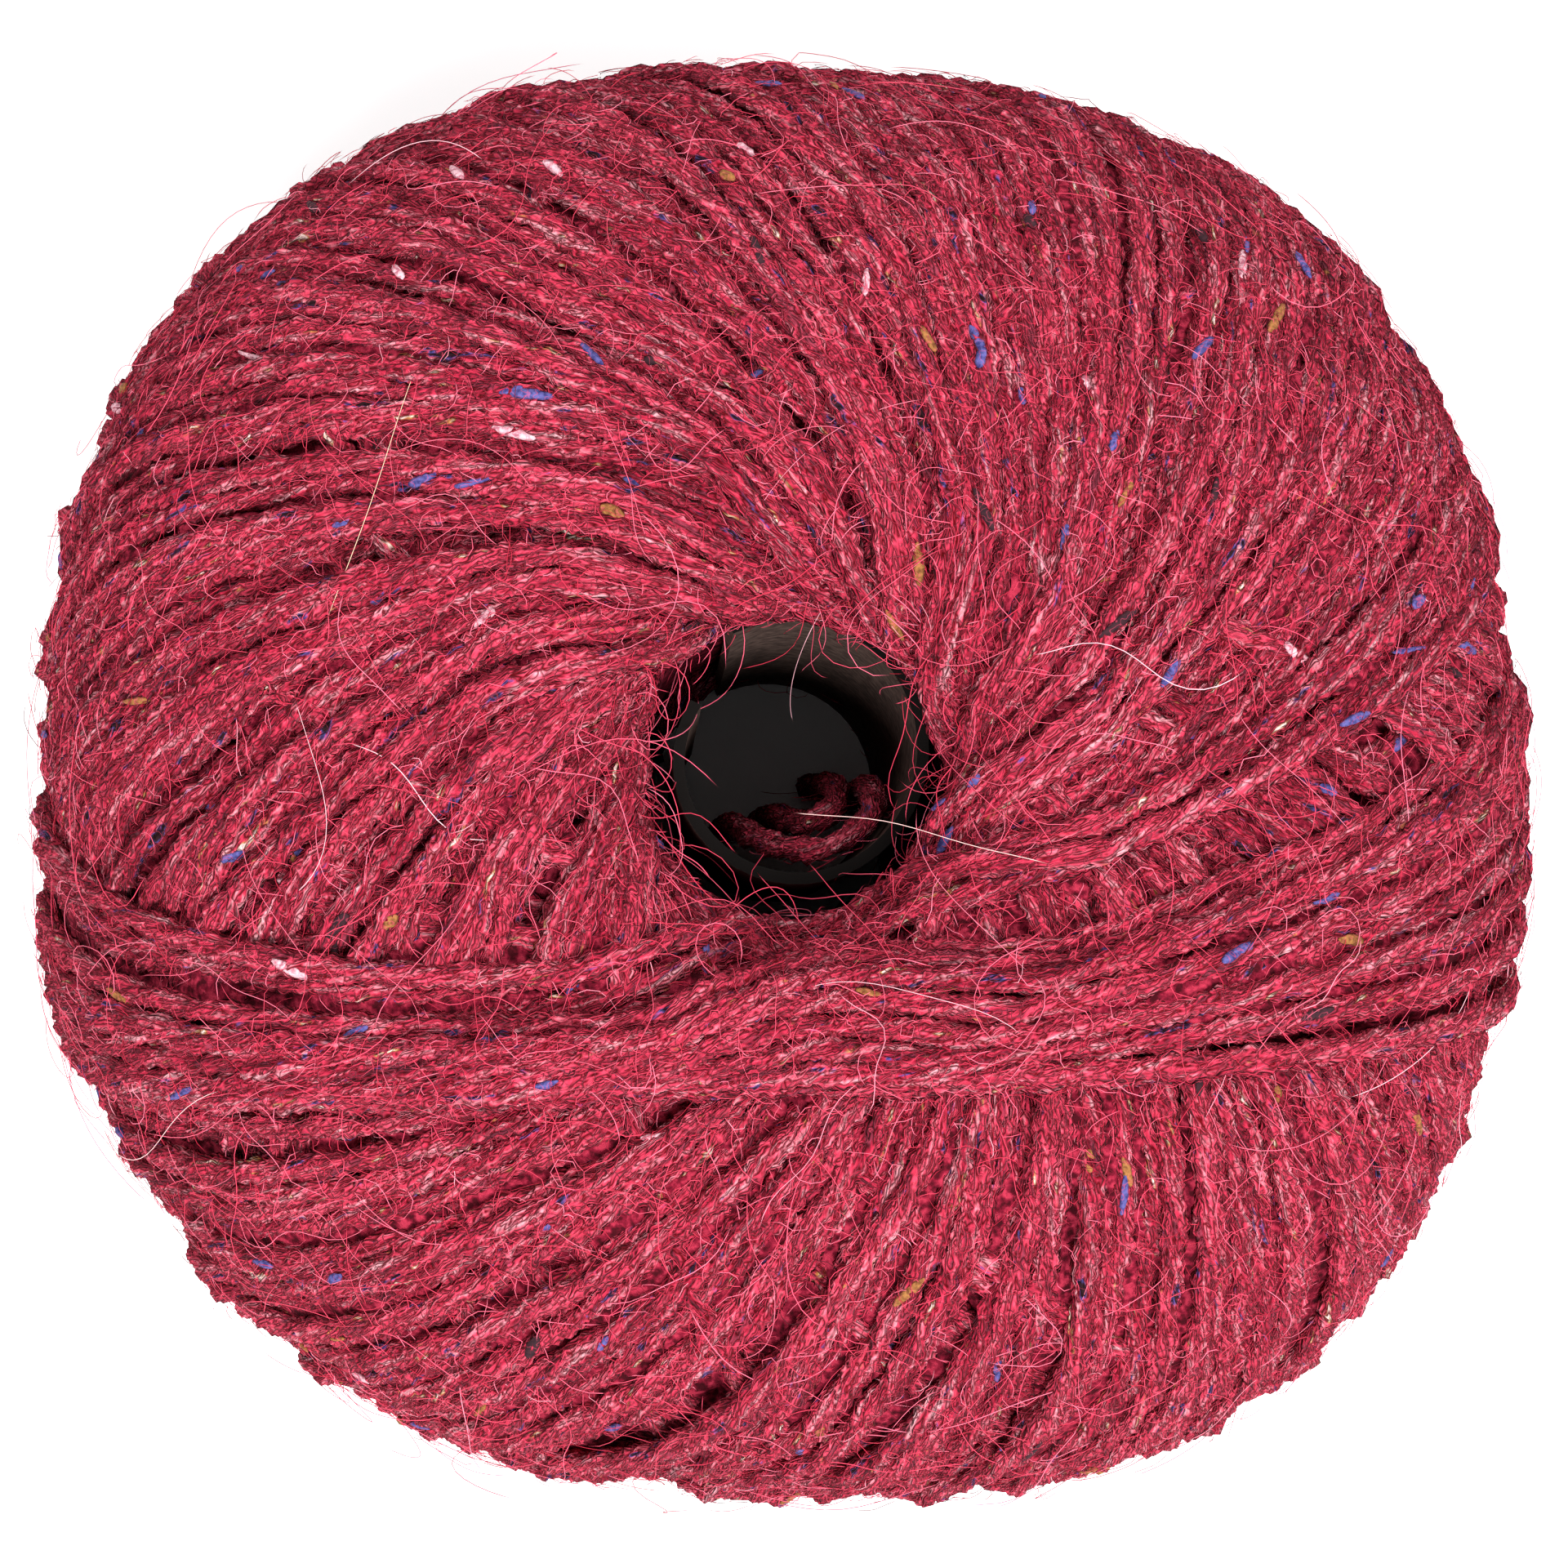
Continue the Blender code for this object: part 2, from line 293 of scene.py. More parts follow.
# %% The height map
MAP_ROWS = int(SECTION_LENGTH / (0.5 * MM)) + 1
MAP_COLUMNS = 480
pile = np.zeros((MAP_ROWS, MAP_COLUMNS))
ACROSS = np.linspace(-0.8, 0.8, 9)  # where a turn touches the pile, in yarn radii
ARCH = np.sqrt(1 - ACROSS**2)
SINK_IN = 0.32  # height of a turn's centre over the pile, in yarn radii
CREST_ABOVE = 0.72  # height of its top over its centre in the map, in yarn radii
BRIDGE = np.exp(-0.5 * (np.arange(-14, 15) / 6.0) ** 2)
BRIDGE /= BRIDGE.sum()
END_DIVE = 2.4 * MM  # how deep the ends of a turn run under
DIVE_LENGTH = 9 * MM


def map_cells(walked, angle):
    """Row and column of the height map for places on the skin."""
    rows = np.clip(np.rint(walked / SECTION_LENGTH * (MAP_ROWS - 1)).astype(int), 0, MAP_ROWS - 1)
    return rows, np.rint(angle / TAU * MAP_COLUMNS).astype(int) % MAP_COLUMNS


def footprint(walked, angle):
    """Map cells across a turn: places shifted sideways from its line by steps of its radius."""
    radius = skin_radius(walked)
    forward = np.gradient(walked)
    around = np.gradient(angle) * radius
    length = np.hypot(forward, around)
    side = ACROSS * YARN_RADIUS
    shifted = walked[:, None] - (around / length)[:, None] * side
    turned = angle[:, None] + (forward / length / radius)[:, None] * side
    return map_cells(shifted, turned)


def smooth_along(values):
    """A running mean along a turn, weighted by a bell curve."""
    padded = np.concatenate((np.full(14, values[0]), values, np.full(14, values[-1])))
    return np.convolve(padded, BRIDGE, mode="valid")


def lay_turn(walked, angle, sunk, ground):
    """Lays one turn on the ground's heights, writes its top to the pile, and gives its centre's height."""
    cells = footprint(walked, angle)
    under = ground[cells]
    rest = 0.65 * under.mean(axis=1) + 0.35 * under.max(axis=1)
    steps = np.arange(len(walked))
    from_end = np.minimum(steps, steps[::-1]) * ROUTE_STEP
    centre = smooth_along(rest + SINK_IN * YARN_RADIUS - sunk)
    centre -= END_DIVE * (1 - np.clip(from_end / DIVE_LENGTH, 0, 1)) ** 2
    np.maximum.at(pile, cells, centre[:, None] + CREST_ABOVE * YARN_RADIUS * ARCH)
    return centre


# %% One full pass of the winding
PASS_TURNS = 176
PASS_SWEEP = math.radians(198)
NEWEST_AT = math.radians(-80)  # where the newest turn passes the hole
NEAREST_PASS = 10.6 * MM
FURTHEST_PASS = 13.2 * MM
SINK_DEPTH = 1.3 * MM
SIDE_BY_SIDE = 1.45 * MM  # room that a turn needs to lie beside its neighbours
GOLDEN = 0.6180339887

winding = np.random.default_rng(4)
turns = []  # for each turn: length walked, angle, height of the centre


def wander_of(draw, size):
    """A random slow wave for one turn."""
    return size * draw.uniform(0.4, 1), draw.uniform(1.5, 4.5), draw.uniform(0, TAU)


def room_share(radius):
    """Share of the pass's turns that fit side by side at a radius: the spacing there over the room needed."""
    slant = np.clip(0.35 + 0.125 * FORM_RADIUS / radius, 0, 0.97)
    return TAU * radius * np.sqrt(1 - slant**2) / PASS_TURNS / SIDE_BY_SIDE


order = np.argsort(np.arange(PASS_TURNS) + winding.normal(0, 0.6, PASS_TURNS))
for number in order:
    rank = (number * GOLDEN) % 1
    passes_at = NEWEST_AT + TAU * (PASS_TURNS - number + winding.uniform(-0.12, 0.12)) / PASS_TURNS
    closest = NEAREST_PASS + (FURTHEST_PASS - NEAREST_PASS) * winding.uniform() ** 1.3
    sweep = PASS_SWEEP + winding.normal(0, math.radians(0.6))
    walked, angle = turn_route(passes_at, closest, sweep, wander_of(winding, 0.2 * MM))
    crowded = np.clip((rank - room_share(skin_radius(walked))) / 0.2, 0, 1)
    sunk = SINK_DEPTH * crowded**2 * (3 - 2 * crowded)
    turns.append((walked, angle, lay_turn(walked, angle, sunk, pile)))
print("pass of", PASS_TURNS, "turns piles up to", round(pile.mean() / MM, 2), "mm")

# %% [markdown]
# ## The band
#
# The last turns pass further from the hole and nearly straight, side by side and on top of each
# other. They come in over the left rim close together and fan out on the right.

# %% The band
BAND_LAYERS = (6, 6, 5)  # turns in each layer, laid in the hollows of the one under it
BAND_LIFTS = (4.2 * MM, 5.4 * MM, 6.6 * MM)  # how high each layer lies at the hole, over the skin
BAND_COMES_IN = (-170, -158.5)  # angle over the left rim, of the turn nearest the hole and the furthest
BAND_GOES_OUT = (9, -17)
BAND_FROM_MIDDLE = (12.8, 19.6)  # mm from the middle of the hole to each turn where it passes


def radius_under(wanted, angle, lift):
    """Radius on the skin of the point that lands, once lifted, at the wanted distance from the middle.

    The lip is tightly curved, so turns on a thick pile lie further apart than the skin's points under them.
    """
    lifted = on_skin(SECTION_WALKED[TOP_HALF], angle, lift) - (*HOLE_PLACE, 0)
    return np.interp(wanted, np.hypot(lifted[:, 0], lifted[:, 1]), SECTION_RADIUS[TOP_HALF])


for count, lift in zip(BAND_LAYERS, BAND_LIFTS):
    ground = pile.copy()
    half = count / max(BAND_LAYERS) / 2
    for place in np.linspace(0.5 - half, 0.5 + half, count) + winding.uniform(-0.02, 0.02, count):
        comes_in = math.radians(np.interp(place, (0, 1), BAND_COMES_IN) + winding.normal(0, 0.3))
        goes_out = math.radians(np.interp(place, (0, 1), BAND_GOES_OUT) + winding.normal(0, 0.8))
        passes_at = (comes_in + goes_out) / 2
        closest = radius_under(np.interp(place, (0, 1), BAND_FROM_MIDDLE) * MM, passes_at, lift)
        walked, angle = turn_route(passes_at, closest, goes_out - comes_in, wander_of(winding, 0.2 * MM))
        turns.append((walked, angle, lay_turn(walked, angle, 0, ground)))
print("band of", sum(BAND_LAYERS), "turns piles up to", round(pile.max() / MM, 2), "mm")

# %% [markdown]
# ## Bedding in
#
# Taut yarn presses into what lies under it, most where it goes over the rim and where the ball
# stands on it. So what rises above the usual height of the pile is squeezed by a share, which is
# small on the top face and large at the rim and below. The order of the layers stays as it is.

# %% Bedding in
USUAL_HEIGHT = 3.6 * MM
SHARE_LEFT_ON_TOP = 0.9
SHARE_LEFT_AT_RIM = 0.3
SHARE_LEFT_BELOW = 0.25


def bedded(height, walked):
    """A height over the skin after the yarn has bedded in: the rest over the usual height is squeezed."""
    at_height = np.interp(walked, SECTION_WALKED, SECTION_HEIGHT) / HALF_HEIGHT
    left = np.interp(at_height, (-0.3, 0.3, 0.95), (SHARE_LEFT_BELOW, SHARE_LEFT_AT_RIM, SHARE_LEFT_ON_TOP))
    return np.minimum(height, USUAL_HEIGHT) + left * np.maximum(height - USUAL_HEIGHT, 0)


# %% [markdown]
# ## Only what shows
#
# Most of the yarn lies buried. A stretch of a turn is kept where its tube would reach above the
# finished pile at some place across it, and the ends of each stretch run a little way under.

# %% Keep the stretches that show
TUBE_STEP = 3  # route steps to one ring of the tube
TALL = 0.88  # the yarn is pressed a little flat
SPARE_RINGS = 2
LEAST_RINGS = 5


def showing(walked, angle, centre):
    """True where a turn reaches above the pile, widened by the spare rings at both ends."""
    tops = centre[:, None] + TALL * YARN_RADIUS * ARCH + 0.02 * MM
    seen = (tops > pile[footprint(walked, angle)]).any(axis=1)[::TUBE_STEP]
    return np.convolve(seen, np.ones(2 * SPARE_RINGS + 1), mode="same") > 0.5


strand_rows = []  # for each ring kept: walked, angle, centre height, length along the turn, turn, stretch
stretch_count = 0
for number, (walked, angle, centre) in enumerate(turns):
    seen = showing(walked, angle, centre)
    edges = np.flatnonzero(np.diff(np.concatenate(([0], seen.astype(int), [0]))))
    along = np.arange(len(seen)) * TUBE_STEP * ROUTE_STEP
    for first, last in zip(edges[::2], edges[1::2]):
        if last - first < LEAST_RINGS:
            continue
        kept = slice(first * TUBE_STEP, last * TUBE_STEP, TUBE_STEP)
        same = np.ones(last - first)
        places = (walked[kept], angle[kept], centre[kept])
        rows = (*places, along[first:last], number * same, stretch_count * same)
        strand_rows.append(np.stack([row[: last - first] for row in rows], axis=1))
        stretch_count += 1
rings = np.concatenate(strand_rows)
print(len(rings), "rings in", stretch_count, "stretches show")

# %% [markdown]
# ## Loose turns in the hole
#
# The yarn is drawn out from the middle of such a ball, so the turns nearest the hole come loose.
# Two lengths stand in the card's tube as low arches, clear of its wall, and are seen only dimly.

# %% The loose turns
# Rows: points of each length in mm, from the middle of the hole and from the surface it lies on.
LOOSE_TURNS = (
    (
        (-3.4, -3.0, 1.0),
        (-3.2, -3.6, 26.0),
        (-2.2, -4.9, 36.0),
        (0.6, -6.2, 39.5),
        (3.4, -5.6, 40.5),
        (5.4, -3.0, 38.0),
        (5.3, -1.4, 30.0),
        (5.2, -0.8, 1.0),
    ),
    (
        (-0.8, -2.4, 1.0),
        (-0.4, -3.0, 26.0),
        (0.8, -4.2, 34.5),
        (2.8, -3.6, 36.0),
        (3.2, -1.4, 31.0),
        (2.8, 0.2, 1.0),
    ),
)


def loose_line(points):
    """A smooth line through a few points: straight runs, smoothed along by a bell curve."""
    corners = np.array(points) * MM + (*HOLE_PLACE, 0)
    gone = np.concatenate(([0], np.cumsum(np.linalg.norm(np.diff(corners, axis=0), axis=1))))
    even = np.arange(0, gone[-1], ROUTE_STEP)
    line = np.stack([smooth_along(np.interp(even, gone, column)) for column in corners.T], axis=1)
    return line[::TUBE_STEP], even[::TUBE_STEP]


centres = on_skin(rings[:, 0], rings[:, 1], bedded(rings[:, 2], rings[:, 0]))
outward = skin_normal(rings[:, 0], rings[:, 1])
for points in LOOSE_TURNS:
    line, along = loose_line(points)
    filler = np.zeros(len(line))
    rows = (filler, filler, filler, along, filler + len(turns) + stretch_count, filler + stretch_count)
    rings = np.concatenate((rings, np.stack(rows, axis=1)))
    centres = np.concatenate((centres, line))
    outward = np.concatenate((outward, np.tile((0.0, -1.0, 0.0), (len(line), 1))))
    stretch_count += 1

# %% Frames along the stretches
stretch = rings[:, 5].astype(int)
joined = np.concatenate((stretch[1:] == stretch[:-1], [False]))  # the next ring is on the same stretch
forward = np.zeros_like(centres)
forward[:-1] = centres[1:] - centres[:-1]
forward[~joined] = np.roll(forward, 1, axis=0)[~joined]
forward /= np.linalg.norm(forward, axis=1, keepdims=True)
outward -= forward * (outward * forward).sum(axis=1, keepdims=True)
outward /= np.linalg.norm(outward, axis=1, keepdims=True)
sideways = np.cross(forward, outward)
reach = (centres + outward * YARN_RADIUS) / MM
print("turns reach from", np.round(reach.min(axis=0), 1), "to", np.round(reach.max(axis=0), 1), "mm")

# %% [markdown]
# ## The yarn's finish
#
# Tweed yarn is carded wool: fibres of several dyed shades are mixed before spinning, so each ply
# shows streaks of raspberry, wine, grey-brown and pink that run with its twist. Wool scatters light
# from a halo of fibre ends, which gives a soft, light edge and no gloss at all: full roughness, a
# little sheen and the default IOR. The streaks follow an attribute that holds the place along the
# yarn and around it in millimetres, so they wind round with the plies.

# %% The yarn's materials
SMOKE = "#542A38"
WINE = "#861229"
RASPBERRY = "#B62A44"
BRIGHT_RED = "#D0445C"
ROSE = "#D88290"
PALE_PINK = "#E2B4BA"


def new_material(name):
    """A node material with its Principled shader found and returned beside its tree."""
    material = bpy.data.materials.new(name)
    material.use_nodes = True
    return material, material.node_tree, material.node_tree.nodes["Principled BSDF"]


def streaks(tree, place, lengthwise, around, detail):
    """Noise stretched along the yarn: its coordinate is divided by a length along it and one around it."""
    shares = (1 / lengthwise, 1 / around, 1 / around)
    scaled = add_node(tree, "ShaderNodeVectorMath", {"operation": "MULTIPLY"}, _0=place, _1=shares)
    noise = add_node(tree, "ShaderNodeTexNoise", Vector=scaled.outputs[0], Scale=1.0, Detail=detail)
    return noise.outputs["Fac"]


def ramp(tree, factor, *stops):
    """A colour ramp with a stop for each (place, colour) pair."""
    node = add_node(tree, "ShaderNodeValToRGB", Fac=factor)
    elements = node.color_ramp.elements
    while len(elements) < len(stops):
        elements.new(0.5)
    for element, (at, colour) in zip(elements, stops):
        element.position = at
        element.color = linear(colour)
    return node.outputs["Color"]


def mix_colours(tree, factor, first, second):
    """Mixes two colours by a factor."""
    return add_node(tree, "ShaderNodeMix", {"data_type": "RGBA"}, _0=factor, _6=first, _7=second).outputs[2]


def fibre_lines(tree, place, lengthwise, around, count):
    """Thin wavy lines along the yarn: the contours of a stretched noise, from 0 between two to 0.5."""
    field = streaks(tree, place, lengthwise, around, 1.0)
    many = add_node(tree, "ShaderNodeMath", {"operation": "MULTIPLY"}, _0=field, _1=count)
    return add_node(tree, "ShaderNodeMath", {"operation": "PINGPONG"}, _0=many.outputs[0], _1=0.5).outputs[0]


def heathered_wool():
    """Two-ply carded wool: long colour drifts, ply tufts, single fibres over both, and painted shade between
    fibres.
    """
    material, tree, shader = new_material("heathered tweed wool")
    place = add_node(tree, "ShaderNodeAttribute", {"attribute_name": "fibre"}).outputs["Vector"]
    inside = add_node(tree, "ShaderNodeTexCoord").outputs["Object"]
    drift = streaks(tree, place, 24, 7, 1.0)  # one drift of shade is about 24 mm of yarn
    tuft = streaks(tree, place, 3.8, 0.45, 3.0)  # a tuft of one shade is about 4 mm long
    base = ramp(tree, drift, (0.36, WINE), (0.46, RASPBERRY), (0.56, BRIGHT_RED), (0.66, RASPBERRY))
    dark = ((0.33, SMOKE), (0.39, WINE), (0.46, RASPBERRY))
    light = ((0.55, BRIGHT_RED), (0.63, ROSE), (0.72, PALE_PINK))
    tufts = ramp(tree, tuft, *dark, *light)
    colour = mix_colours(tree, 0.65, base, tufts)
    combed = fibre_lines(tree, place, 2.2, 0.42, 5.5)  # lies along the ply
    curled = fibre_lines(tree, inside, 1.2 * MM, 1.2 * MM, 5.0)  # curls of about 1 mm, any way
    fleck = streaks(tree, place, 3.1, 0.8, 2.0)
    patch = ramp(tree, fleck, (0.29, "#FFFFFF"), (0.33, "#000000"), (0.68, "#000000"), (0.72, "#FFFFFF"))
    dyes = ramp(tree, fleck, (0.26, "#241418"), (0.31, "#4A4C92"), (0.71, "#96702E"), (0.75, "#E2C6BE"))
    colour = mix_colours(tree, patch, colour, dyes)
    # Painted shade: the thin lines between the fibres, along the ply, are multiplied down to dark wine.
    shade = ramp(tree, combed, (0.02, "#6C1A2A"), (0.34, "#FFFFFF"))
    colour = add_node(
        tree, "ShaderNodeMix", {"data_type": "RGBA", "blend_type": "MULTIPLY"}, _0=1.0, _6=colour, _7=shade
    ).outputs[2]
    nap = ramp(tree, curled, (0.4, "#000000"), (0.5, "#C0C0C0"))
    colour = mix_colours(tree, nap, colour, linear("#D44A62"))
    height = add_node(tree, "ShaderNodeMath", {"operation": "ADD"}, _0=combed, _1=nap).outputs[0]
    bump = add_node(tree, "ShaderNodeBump", Strength=1.0, Distance=0.34 * MM, Height=height)
    tree.links.new(colour, shader.inputs["Base Color"])
    tree.links.new(bump.outputs["Normal"], shader.inputs["Normal"])
    shader.inputs["Roughness"].default_value = 1.0
    shader.inputs["Specular IOR Level"].default_value = 0.06
    shader.inputs["Sheen Weight"].default_value = 0.06
    shader.inputs["Sheen Roughness"].default_value = 0.6
    shader.inputs["Sheen Tint"].default_value = linear("#F0A0B0")
    return material


def stray_wool():
    """Stray fibres: each has one shade, from grey-brown and wine through raspberry to pink and pale grey."""
    material, tree, shader = new_material("stray wool fibre")
    shade = add_node(tree, "ShaderNodeAttribute", {"attribute_name": "shade"}).outputs["Fac"]
    stops = (
        (0.0, "#241014"),
        (0.15, "#6A0E22"),
        (0.35, "#B8243C"),
        (0.72, "#DA4A64"),
        (0.9, "#E87890"),
        (0.96, "#EEC0C8"),
        (1.0, "#E2CCA4"),
    )
    tree.links.new(ramp(tree, shade, *stops), shader.inputs["Base Color"])
    shader.inputs["Roughness"].default_value = 0.7
    shader.inputs["Specular IOR Level"].default_value = 0.15
    return material


WOOL = heathered_wool()
STRAY = stray_wool()

# %% [markdown]
# ## Two plies twisted into a strand
#
# Each strand is a tube whose section has two lobes, one for each ply. The section turns as it goes
# along, so the lobes wind round each other as real plies do. All rings are worked out at once.

# %% The strands
PLY_PITCH = 7.6 * MM  # yarn for one turn of the plies round each other
STREAK_PITCH = 22 * MM  # yarn for one turn of the fibres, which are spun the other way in each ply
RING_POINTS = 8
LOBE = 0.2
PIECE_RINGS = 11000  # rings to one piece, which keeps it under 200,000 triangles


def strand_points(first, last):
    """Rings of points: centre plus radius times lobe, turned by the twist, wide sideways and low outwards."""
    around = np.arange(RING_POINTS) / RING_POINTS * TAU
    along = rings[first:last, 3]
    turned = around + (TAU * along / PLY_PITCH)[:, None]
    slub = 1 + 0.06 * np.sin(along / (3.1 * MM) + rings[first:last, 4] * 1.7)
    slub += 0.04 * np.sin(along / (1.3 * MM) + rings[first:last, 4] * 3.1)
    radius = YARN_RADIUS * slub[:, None] * (1 + LOBE * np.cos(2 * around))
    wide = (radius * np.cos(turned))[:, :, None] * sideways[first:last, None]
    tall = (TALL * radius * np.sin(turned))[:, :, None] * outward[first:last, None]
    return centres[first:last, None] + wide + tall


def strand_faces(first, last):
    """Quads between neighbouring rings of one stretch, and a cap on each stretch's first and last ring."""
    ring = np.arange(first, last)
    here = ring[joined[first:last] & (ring < last - 1)] - first
    corner = np.arange(RING_POINTS)
    beside = (corner + 1) % RING_POINTS
    a = here[:, None] * RING_POINTS + corner
    b = here[:, None] * RING_POINTS + beside
    quads = np.stack((a, a + RING_POINTS, b + RING_POINTS, b), axis=-1).reshape(-1, 4)
    starts = np.flatnonzero(np.concatenate(([True], stretch[first + 1 : last] != stretch[first : last - 1])))
    ends = np.concatenate((starts[1:], [last - first])) - 1
    start_caps = starts[:, None] * RING_POINTS + corner
    end_caps = ends[:, None] * RING_POINTS + corner[::-1]
    return [quads, start_caps, end_caps]


def yarn_piece(name, first, last):
    """One piece of the winding, with each point's place along and around the yarn in millimetres."""
    points = settled(strand_points(first, last))
    piece = new_mesh(name, points.reshape(-1, 3), strand_faces(first, last), WOOL)
    around = np.arange(RING_POINTS) / RING_POINTS * TAU
    along = rings[first:last, 3, None]
    spun = around + TAU * along * (1 / PLY_PITCH - 1 / STREAK_PITCH)
    place = np.empty((last - first, RING_POINTS, 3))
    place[:, :, 0] = along / MM + rings[first:last, 4, None] * 31.7
    place[:, :, 1] = np.cos(spun) * YARN_RADIUS / MM
    place[:, :, 2] = np.sin(spun) * YARN_RADIUS / MM + rings[first:last, 4, None] * 7.3
    give_attribute(piece, "fibre", place.reshape(-1, 3))
    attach(piece, "root")
    return piece


yarn_pieces = []
first_ring = 0
while first_ring < len(rings):
    last_ring = min(first_ring + PIECE_RINGS, len(rings))
    if last_ring < len(rings):
        last_ring = int(np.searchsorted(stretch, stretch[last_ring]))
    yarn_pieces.append(yarn_piece(f"yarn_turns_{len(yarn_pieces) + 1}", first_ring, last_ring))
    first_ring = last_ring
print(len(yarn_pieces), "pieces of yarn,", 2 * RING_POINTS * len(rings), "triangles or so")

# %% [markdown]
# ## The body under the turns
#
# Under the turns that show lie hundreds more. They are only glimpsed between the top ones and down
# the wall of the hole, so one closed skin of the pile's form stands for them, a little under its top,
# in darker reds of the same wool: painted shade for the deep gaps between the turns.

# %% The buried turns
BODY_COLUMNS = 130
BODY_ROWS = 80
BODY_DEPTH = 0.2 * MM


def buried_body():
    """The skin on a grid of lengths walked and angles, lifted to a little under the smoothed pile."""
    walked = np.linspace(0, SECTION_LENGTH, BODY_ROWS, endpoint=False)
    angle = np.linspace(0, TAU, BODY_COLUMNS, endpoint=False)
    walked, angle = np.meshgrid(walked, angle, indexing="ij")
    rows, columns = map_cells(walked, angle)
    steps = [(down, right) for down in (-3, 0, 3) for right in (-3, 0, 3)]
    beside = [(np.clip(rows + down, 0, MAP_ROWS - 1), (columns + right) % MAP_COLUMNS) for down, right in steps]
    level = np.min([pile[cells] for cells in beside], axis=0)
    lift = bedded(np.maximum(level - BODY_DEPTH, 0), walked)
    points = settled(on_skin(walked, angle, lift))
    index = np.arange(BODY_ROWS * BODY_COLUMNS).reshape(BODY_ROWS, BODY_COLUMNS)
    up = np.roll(index, -1, axis=0)
    quads = np.stack((index, np.roll(index, -1, axis=1), np.roll(up, -1, axis=1), up), axis=-1).reshape(-1, 4)
    return points.reshape(-1, 3), [quads[:, ::-1]]


def buried_wool_painted_shade():
    """The same wool's reds, darkened as painted shade: nearly black red to raspberry, in blotches of about 0.6
    mm.
    """
    material, tree, shader = new_material("buried wool in painted shade")
    place = add_node(tree, "ShaderNodeTexCoord").outputs["Object"]
    noise = add_node(tree, "ShaderNodeTexNoise", Vector=place, Scale=1 / (0.6 * MM), Detail=4.0)
    blotch = noise.outputs["Fac"]
    # Painted shade: these reds run darker than the yarn on top, for the gaps between the turns.
    colour = ramp(tree, blotch, (0.38, "#3A0811"), (0.5, "#6E1226"), (0.62, "#A02A40"))
    bump = add_node(tree, "ShaderNodeBump", Strength=0.9, Distance=0.5 * MM, Height=blotch)
    tree.links.new(colour, shader.inputs["Base Color"])
    tree.links.new(bump.outputs["Normal"], shader.inputs["Normal"])
    shader.inputs["Roughness"].default_value = 1.0
    shader.inputs["Specular IOR Level"].default_value = 0.1
    return material


body_points, body_faces = buried_body()
body = new_mesh("buried_turns", body_points, body_faces, buried_wool_painted_shade())
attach(body, "root")
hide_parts("ball")
print("body of", 2 * BODY_ROWS * BODY_COLUMNS, "triangles")

# %% [markdown]
# ## The flecks
#
# Tweed is flecked with nubs: little balls of short fibre in other colours, dropped in at carding
# and caught between the fibres. A nub is a flattened, drawn-out lump that lies along the strand.

# %% The flecks
# Rows: name, colour, darker colour, share of all flecks.
NUB_ROWS = (
    ("blue", "#55528A", "#2E2C5C", 0.44),
    ("ochre", "#946438", "#633C22", 0.26),
    ("pale", "#D8AEB6", "#9C5C6C", 0.14),
    ("black", "#2A1A20", "#3A2026", 0.16),
)
NUB_COUNT = 450
NUB_ROUND = 8
NUB_RINGS = 6


def nub_points(draw, count, rows):
    """Drawn-out lumps: a ball of rings, stretched along the strand and roughened, on the strand's top."""
    turn = np.linspace(0, math.pi, NUB_RINGS + 2)[1:-1]
    around = np.arange(NUB_ROUND) / NUB_ROUND * TAU
    half_length = draw.uniform(0.5, 1.5, count)[:, None, None] * MM
    half_width = draw.uniform(0.22, 0.4, count)[:, None, None] * MM
    rough = 1 + draw.uniform(-0.25, 0.25, (count, NUB_RINGS, NUB_ROUND))
    along = half_length * np.cos(turn)[None, :, None] * (1 + 0.2 * (rough - 1))
    across = half_width * (np.sin(turn)[None, :, None] * np.cos(around)) * rough
    over = 0.62 * half_width * (np.sin(turn)[None, :, None] * np.sin(around)) * rough
    skew = draw.uniform(-0.5, 0.5, count)[:, None, None]
    lean = draw.uniform(-0.55, 0.55, count)
    axis = outward[rows] * np.cos(lean)[:, None] + sideways[rows] * np.sin(lean)[:, None]
    flank = np.cross(forward[rows], axis)
    middle = centres[rows] + axis * (0.84 * YARN_RADIUS * TALL)
    across = across + skew * along
    parts = ((along, forward[rows]), (across, flank), (over, axis))
    points = middle[:, None, None] + sum(size[..., None] * way[:, None, None] for size, way in parts)
    tips = np.cos((0, math.pi)) * half_length[:, :, 0]
    tip_points = middle[:, None] + tips[..., None] * (forward[rows] + skew[:, 0] * flank)[:, None]
    return np.concatenate((points.reshape(count, -1, 3), tip_points), axis=1)


def nub_faces(count):
    """Quads between the rings of each lump, and triangles to its two tips."""
    corner = np.arange(NUB_ROUND)
    beside = (corner + 1) % NUB_ROUND
    ring = np.arange(NUB_RINGS - 1)[:, None] * NUB_ROUND
    further = ring + NUB_ROUND
    quads = np.stack((ring + corner, ring + beside, further + beside, further + corner), axis=-1)
    last = (NUB_RINGS - 1) * NUB_ROUND
    tip = NUB_RINGS * NUB_ROUND
    first_fan = np.stack((np.full(NUB_ROUND, tip), beside, corner), axis=-1)
    last_fan = np.stack((np.full(NUB_ROUND, tip + 1), last + corner, last + beside), axis=-1)
    fans = np.concatenate((first_fan, last_fan))
    start = np.arange(count)[:, None, None] * (tip + 2)
    return [(quads.reshape(-1, 4) + start).reshape(-1, 4), (fans + start).reshape(-1, 3)]


